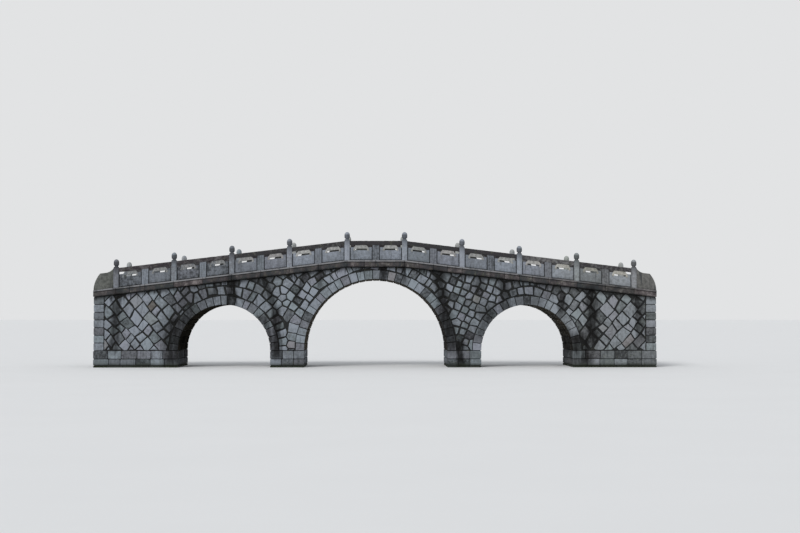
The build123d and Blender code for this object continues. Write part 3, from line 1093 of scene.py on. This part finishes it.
def lay_cornice(cornice, side, chance):
    """Projecting cap stones with a thin lip, jointed at the posts and the middles of the bays."""
    lip = 0.05
    recess = 0.010
    arris = 0.008
    chamfer = 0.035
    inner = cornice_low.y + 0.004
    outer = cornice_high.y
    profile = [
        (inner, -CORNICE),
        (outer - recess - chamfer, -CORNICE),
        (outer - recess, chamfer - CORNICE),
        (outer - recess, -lip - recess),
        (outer, -lip),
        (outer, -arris),
        (outer - arris, 0),
        (inner + arris, 0),
        (inner, -arris),
    ]
    place = on_deck_line(side)
    for start, end in pairs(deck_joints(1)):
        parts = [start, end]
        if end - start > 1 and chance.random() < 0.4:
            parts.insert(1, (start + end) / 2 + chance.uniform(-0.15, 0.15))
        for low, high in pairs(parts):
            low, high = eased(low, high, -END_X, END_X, 0.005)
            look = a_look(chance, 0.15, 0.6, dark_share=0.1, warm_share=0)
            stone(cornice, profile, low, high, place, look, edge=0.007, rough=0.003, dome=0, cuts=5)


def lay_paving(chance):
    """Deck slabs in rows across the bridge."""
    paving = Piece()
    reach = paving_high.y
    gap = 0.004
    slab_width = 0.66
    for start, end in pairs(deck_joints(2)):
        low, high = eased(start, end, -END_X, END_X, gap)
        corners = [(low, deck(low) - PAVING_DEPTH), (high, deck(high) - PAVING_DEPTH)]
        corners = soften([*corners, (high, deck(high)), (low, deck(low))], 0.008)
        joints = spread(chance, -reach, reach, slab_width, play=0.6)
        for y0, y1 in pairs(joints):
            near, far = eased(y0, y1, -reach, reach, gap)
            look = even_look(chance, 0.35, 0.8)
            stone(paving, corners, near, far, towards(1), look, edge=0.006, rough=0.002, dome=0)
    paving.finish("deck_paving_stones", [paving_stone], "paving", "deck_paving")


def arc(centre_x, centre_y, radius, start, end, count):
    """Points along an arc, its angles in degrees."""
    turns = [math.radians(start + (end - start) * step / count) for step in range(count + 1)]
    return [(centre_x + math.cos(turn) * radius, centre_y + math.sin(turn) * radius) for turn in turns]


def bowed(start, end, sagitta, count=10):
    """Points on a flat curve from start to end, bulging to the right of its way by a sagitta."""
    run, rise = end[0] - start[0], end[1] - start[1]
    length = math.hypot(run, rise)
    points = []
    for step in range(count + 1):
        share = step / count
        bulge = 4 * share * (1 - share) * sagitta / length
        u, v = between(start, end, share)
        points.append((u + rise * bulge, v - run * bulge))
    return points


def lay_handrails(rails, side, chance):
    """Weathered handrails, rounded on top, from post to post."""
    half = (rails_high.y - rails_low.y) / 2
    crown = 0.03
    arris = 0.008
    profile = [(half - arris, RAIL_FOOT), (half, RAIL_FOOT + arris)]
    profile += bowed((half, RAIL_TOP - crown), (-half, RAIL_TOP - crown), crown, 8)
    profile += [(-half, RAIL_FOOT + arris), (arris - half, RAIL_FOOT)]
    profile = [(RAIL_Y + u, v) for u, v in profile]
    place = on_deck_line(side)
    reach = (BAY - POST_SIDE) / 2
    for bay_x in BAY_MIDDLES:
        paler = PALER_EAST * (bay_x > EAST) + PALER_WEST * (bay_x < -EAST)
        look = even_look(chance, 0.3, 0.48, paler)
        low = bay_x - reach
        stone(rails, profile, low, bay_x + reach, place, look, edge=0.006, rough=0.009, dome=0, cuts=18)


def lay_pilasters(pilasters, side, chance):
    """Pilasters with stopped flutes on both faces, in the middle of each bay."""
    half_width = PILASTER / 2
    half_depth = (pilasters_high.y - pilasters_low.y) / 2
    flute = 0.013
    flute_depth = 0.012
    margin = 0.045
    stop = 0.02
    arris = 0.006

    def plan(depth):
        """The plan of a pilaster with flutes of some depth."""
        row = [(-half_width, arris - half_depth), (arris - half_width, -half_depth)]
        for flute_x in (-half_width / 3, half_width / 3):
            for offset, share in ((-1, 0), (-0.6, 0.8), (0, 1), (0.6, 0.8), (1, 0)):
                row.append((flute_x + flute * offset, depth * share - half_depth))
        row += [(half_width - arris, -half_depth), (half_width, arris - half_depth)]
        return row + [(-u, -v) for u, v in row]

    levels = [(0, 0), (margin, 0), (margin + stop, flute_depth)]
    levels += [(RAIL_FOOT - height, depth) for height, depth in reversed(levels)]
    for bay_x in BAY_MIDDLES:
        rings = []
        for height, depth in levels:
            plan_points = plan(depth)
            rings.append([(bay_x + u, side * RAIL_Y + v, deck(bay_x + u) + height) for u, v in plan_points])
        pilasters.loft(rings, even_look(chance, 0.2, 0.6))


def plate(outlines, thickness, bevel):
    """Points and faces of a plate with holes, in its own plane, with its arrises worn off."""
    curve = bpy.data.curves.new("plate", "CURVE")
    curve.dimensions = "2D"
    curve.fill_mode = "BOTH"
    curve.extrude = thickness / 2 - bevel
    curve.bevel_depth = bevel
    curve.bevel_resolution = 1
    curve.offset = -bevel
    for outline in outlines:
        spline = curve.splines.new("POLY")
        spline.points.add(len(outline) - 1)
        for point, (u, v) in zip(spline.points, outline):
            point.co = (u, v, 0, 1)
        spline.use_cyclic_u = True
    drawn = bpy.data.objects.new("plate", curve)
    mesh = bpy.data.meshes.new_from_object(drawn)
    points = [tuple(vertex.co) for vertex in mesh.vertices]
    faces = [list(polygon.vertices) for polygon in mesh.polygons]
    bpy.data.objects.remove(drawn)
    bpy.data.meshes.remove(mesh)
    return points, faces


# A panel's slab and slot, and the lobes at the ends of its cloud step, in metres from the panel's foot.
# A lobe is its middle along the panel and over the slot, its radius, and its arc's degrees and steps.
SLAB_THICKNESS = 0.1
SLOT_RISE = 0.435
SLOT_HEIGHT = 0.062
SLOT_LENGTH = 0.48
LOBES = [
    (0.272, -0.012, 0.048, -160, 55, 12),
    (0.252, 0.072, 0.036, -25, 80, 7),
    (0.214, 0.130, 0.030, -10, 80, 6),
]


def slot_outline():
    """The pierced slot, with round ends, drawn clockwise as a hole."""
    radius = SLOT_HEIGHT / 2
    reach = SLOT_LENGTH / 2 - radius
    outline = arc(reach, SLOT_RISE, radius, -90, 90, 8) + arc(-reach, SLOT_RISE, radius, 90, 270, 8)
    return outline[::-1]


def cloud_outline():
    """A cloud step over the slot: lobes that hang down past its ends, stepped in towards the handrail."""
    slot_top = SLOT_RISE + SLOT_HEIGHT / 2
    end = SLOT_LENGTH / 2 - 0.03
    right = [(0.02, slot_top), (end, slot_top)] + arc(end, SLOT_RISE, SLOT_HEIGHT / 2, 60, -30, 6)
    for middle_u, rise, *lobe in LOBES:
        right += arc(middle_u, SLOT_RISE + rise, *lobe)
    return mirrored(right + [(0.2, RAIL_FOOT)])


def slab_outline():
    """A panel's slab, cut down at its shoulders beside the cloud step."""
    half = PANEL_LENGTH / 2
    shoulder = RAIL_FOOT - 0.09
    corner = 0.02
    step = 0.225
    hollow = 0.03
    right = [(half, 0), (half, shoulder - corner), (half - corner, shoulder), (step + hollow, shoulder)]
    right += arc(step + hollow, shoulder + hollow, hollow, 270, 180, 5)
    return mirrored(right + [(step, RAIL_FOOT)])


# The order of a panel's finishes: the slab's, the cloud step's, and the cloud step's towards the deck, in
# painted shade
SLAB_FINISH, CLOUD_FINISH, SHADED_FINISH = range(3)

# The curls carved on a cloud step: middle along and up the panel and reach in metres, and number of turns
CURLS = [
    (0.000, 0.542, 0.036, 1.7),
    (0.145, 0.540, 0.033, 1.6),
    (-0.145, 0.540, 0.033, -1.6),
    (0.274, 0.424, 0.028, 1.4),
    (-0.274, 0.424, 0.028, -1.4),
]
CURL_RISE = 0.005


def curl(middle_u, middle_v, reach, turns):
    """A raised line that winds in to an eye, as rings of points about its path, in the panel's plane."""
    step_count = 26
    root = -0.004
    rings = []
    for step in range(step_count + 1):
        share = step / step_count
        turn = math.radians(90) - math.tau * turns * share
        radius = reach * (1 - 0.72 * share)
        half = 0.0065 * (1 - 0.3 * share)
        crest = half * 0.45
        ring = []
        for offset, height in ((-half, root), (-crest, CURL_RISE), (crest, CURL_RISE), (half, root)):
            out = radius + offset
            ring.append((middle_u + math.cos(turn) * out, middle_v + math.sin(turn) * out, height))
        rings.append(ring)
    return rings


def in_panel(points, panel_x, side):
    """Points along, up and out from the middle of a panel's foot, as places in the frame."""
    return [(panel_x + u, side * RAIL_Y + w, deck(panel_x + u) + v) for u, v, w in points]


def shade_inner_face(panels, cloud, side):
    """Give the cloud step laid last the painted-shade finish on its face towards the deck."""
    points, faces = cloud
    start = len(panels.materials) - len(faces)
    for index, face in enumerate(faces):
        if all(side * points[corner][2] < 0 for corner in face):
            panels.materials[start + index] = SHADED_FINISH


def carve_curls(panels, panel_x, side, look):
    """The curls on both faces of one panel's cloud step."""
    face_reach = (panels_high.y - panels_low.y) / 2 - CURL_RISE
    for outward in (-1, 1):
        for sizes in CURLS:
            rings = []
            for ring in curl(*sizes):
                raised = [(u, v, outward * (face_reach + w)) for u, v, w in ring]
                rings.append(in_panel(raised, panel_x, side))
            panels.loft(rings, look, CLOUD_FINISH if side == outward else SHADED_FINISH)


def lay_panels(panels, side, chance):
    """Panels, each a slab and a raised cloud step with curls, the slab pierced by one slot."""
    slab = plate([slab_outline(), slot_outline()], SLAB_THICKNESS, bevel=0.006)
    cloud = plate([cloud_outline()], panels_high.y - panels_low.y - 2 * CURL_RISE, bevel=0.005)
    offset = (PILASTER + PANEL_LENGTH) / 2
    for bay_x in BAY_MIDDLES:
        for panel_x in (bay_x - offset, bay_x + offset):
            # Panels in the west lose tone to a painted tree shadow
            look = even_look(chance, 0.45, 0.75, TREE_SHADOW_TONE * (panel_x < -2 * BAY))
            for (points, faces), finish in ((slab, SLAB_FINISH), (cloud, CLOUD_FINISH)):
                panels.add(in_panel(points, panel_x, side), faces, look, finish)
            shade_inner_face(panels, cloud, side)
            carve_curls(panels, panel_x, side, look)


# The bud-shaped knob's profile above the shaft: radius and height, in metres
KNOB = [
    (0.090, 0.000), (0.101, 0.006), (0.101, 0.024), (0.090, 0.031), (0.072, 0.037),
    (0.067, 0.050), (0.070, 0.068), (0.086, 0.082), (0.101, 0.098), (0.108, 0.125),
    (0.109, 0.160), (0.109, 0.200), (0.106, 0.232), (0.097, 0.262), (0.083, 0.288),
    (0.063, 0.310), (0.040, 0.324), (0.018, 0.331),
]
PETALS = 8
PETAL_FOOT = 0.085
SHAFT = 0.8


def shaft_rings(post_x, post_y):
    """A post's shaft, from the deck line to its worn top."""
    half = POST_SIDE / 2
    wear = 0.014
    top = deck(post_x) + SHAFT
    plan = [(half - wear, half), (wear - half, half), (-half, half - wear), (-half, wear - half)]
    plan += [(-u, -v) for u, v in plan]
    rings = [[(post_x + u, post_y + v, deck(post_x + u)) for u, v in plan]]
    for share in (0.25, 0.5, 0.75):
        level = deck(post_x) + SHAFT * share
        rings.append([(post_x + u, post_y + v, level + wobble((u, v, level), 0.004)) for u, v in plan])
    for level, reach in ((top - 0.018, 1), (top - 0.006, 0.94), (top, 0.9)):
        rings.append([(post_x + u * reach, post_y + v * reach, level) for u, v in plan])
    return rings


def knob_rings(post_x, post_y, number):
    """A post's lotus bud, its petals ribbed over a plain foot."""
    turn_count = 32
    rib = 0.07
    top = deck(post_x) + SHAFT
    rings = []
    for radius, rise in KNOB:
        ring = []
        for step in range(turn_count):
            turn = math.tau * step / turn_count
            petal = abs(math.cos(turn * PETALS / 2)) if rise > PETAL_FOOT else 1
            reach = radius * (1 - rib + rib * petal ** 0.5)
            reach += wobble((math.cos(turn), math.sin(turn), rise + number), size=0.002, pitch=4)
            ring.append((post_x + math.cos(turn) * reach, post_y + math.sin(turn) * reach, top + rise))
        rings.append(ring)
    return rings


def lay_posts(chance):
    """The posts of both balustrades, each a shaft and a knob."""
    for side_name, side in SIDES.items():
        # The far posts get the paler stone, painted as lit
        material = post_stone if side < 0 else lit_far_post_stone
        for number in range(BAY_COUNT + 1):
            post_x = (number - BAY_COUNT / 2) * BAY
            # Posts in the west lose tone to a painted tree shadow
            look = even_look(chance, 0.7, 1.0, TREE_SHADOW_TONE * (post_x < -FLAT - BAY))
            post = Piece()
            post.loft(shaft_rings(post_x, side * RAIL_Y), look)
            post.loft(knob_rings(post_x, side * RAIL_Y, number), look)
            name = f"{side_name}_post_stone_{number + 1}"
            post.finish(name, [material], "post_stone", f"{side_name}_post_{number + 1}", sharp=50)


def lay_wing_stones(chance):
    """Plain end slabs, swept down from the handrail and rounded off to the deck."""
    length = wing_high.x - wing_low.x
    thickness = wing_high.y - wing_low.y
    height = 0.64
    sweep = 0.32
    round_foot = 0.26
    outline = [(0, 0)] + bowed((length, 0), (length - round_foot, height), sagitta=0.066)
    outline += bowed((sweep, height), (0, RAIL_TOP), sagitta=-0.04)
    points, faces = plate([outline], thickness, bevel=0.008)
    for side_name, side in SIDES.items():
        for end_name, end in ENDS.items():
            wing = Piece()
            placed = []
            for u, v, w in points:
                x = wing_low.x + u
                placed.append((end * x, side * RAIL_Y + w, deck(x) + v))
            wing.add(placed, faces, even_look(chance, 0.5, 0.8))
            name = f"{side_name}_{end_name}_wing"
            wing.finish(f"{name}_slab", [wing_stone], "panel_stone", f"{name}_stone")


def floor_material():
    """A plain pale colour with the faintest mottle."""
    material, nodes, shader, place = start_material("floor_pale")
    shade = nodes.step(nodes.noise(place, 0.4, 3, 0.5), 0.2, 0.8, 0.985, 1.0)
    colour = nodes.mix(1, FLOOR_PALE, shade, "MULTIPLY")
    nodes.feed([shader["Base Color"], shader["Roughness"]], (colour, 0.9))
    return material


def set_stage():
    """A plain pale floor, and soft light from a wide sun."""
    reach = 600
    mesh = bpy.data.meshes.new("floor")
    mesh.from_pydata([(x, y, 0) for x, y in rectangle(-reach, -reach, reach, reach)], [], [(0, 1, 2, 3)])
    mesh.materials.append(floor_material())
    floor = new_object("floor", mesh)

    lamp = bpy.data.lights.new("key", "SUN")
    lamp.energy = 1.7
    lamp.angle = math.radians(24)
    new_object("key", lamp).rotation_euler = (math.radians(48), 0, math.radians(-28))
    bpy.context.scene.view_settings.view_transform = "Standard"


def set_world():
    """Dim even light from all round, behind a pale backdrop that only direct and mirrored looks see."""
    world = bpy.data.worlds.new("studio")
    bpy.context.scene.world = world
    world.use_nodes = True
    world.node_tree.nodes.clear()
    nodes = Nodes(world.node_tree)
    paths = nodes.add("LightPath").node.outputs
    seen = nodes.math("MAXIMUM", paths["Is Camera Ray"], paths["Is Glossy Ray"])
    seen = nodes.math("MAXIMUM", seen, paths["Is Transmission Ray"])
    ambient = nodes.add("Background", AMBIENT, 0.62)
    backdrop = nodes.add("Background", BACKDROP_PALE, 1.0)
    output = world.node_tree.nodes.new("ShaderNodeOutputWorld")
    nodes.feed(output.inputs, [nodes.add("MixShader", seen, ambient, backdrop)])


def set_camera():
    """The photograph's viewpoint, found from the bridge's own corners in its 800 by 533 frame."""
    lens = bpy.data.cameras.new("camera")
    lens.lens = 66.10
    lens.sensor_width = 36
    lens.clip_end = 3000
    camera = new_object("camera", lens)
    camera.location = (-0.063, -60.31, 2.075)
    camera.rotation_euler = (math.radians(91.907), 0, math.radians(-1.003))
    bpy.context.scene.camera = camera


# The pieces on each side: seed, function, name, finishes, slot and CAD node, the names without the side's
SIDE_PIECES = [
    ("wall", lay_wall, "wall_stones", [rubble_stone], "rubble_masonry", "spandrel_wall"),
    ("cornice", lay_cornice, "cornice_stones", [cornice_stone], "cornice_stone", "cornice"),
    ("handrails", lay_handrails, "handrail_stones", [rail_stone], "rail_stone", "handrails"),
    ("pilasters", lay_pilasters, "pilaster_stones", [pilaster_stone], "post_stone", "pilasters"),
    ("panels", lay_panels, "panel_stones", [panel_stone, cloud_stone, shaded_stone], "panel_stone", "panels"),
]

set_camera()
set_stage()
set_world()
for side_name, side in SIDES.items():
    for seed, lay, name, materials, slot, node in SIDE_PIECES:
        piece = Piece()
        lay(piece, side, random.Random(f"{side_name} {seed}"))
        piece.finish(f"{side_name}_{name}", materials, slot, f"{side_name}_{node}")
for arch_name in ARCHES:
    lay_arch(arch_name, random.Random(f"{arch_name} arch"))
lay_piers(random.Random("piers"))
lay_abutments(random.Random("abutments"))
lay_paving(random.Random("paving"))
lay_posts(random.Random("posts"))
lay_wing_stones(random.Random("wing stones"))
lay_core()

bpy.context.view_layer.update()
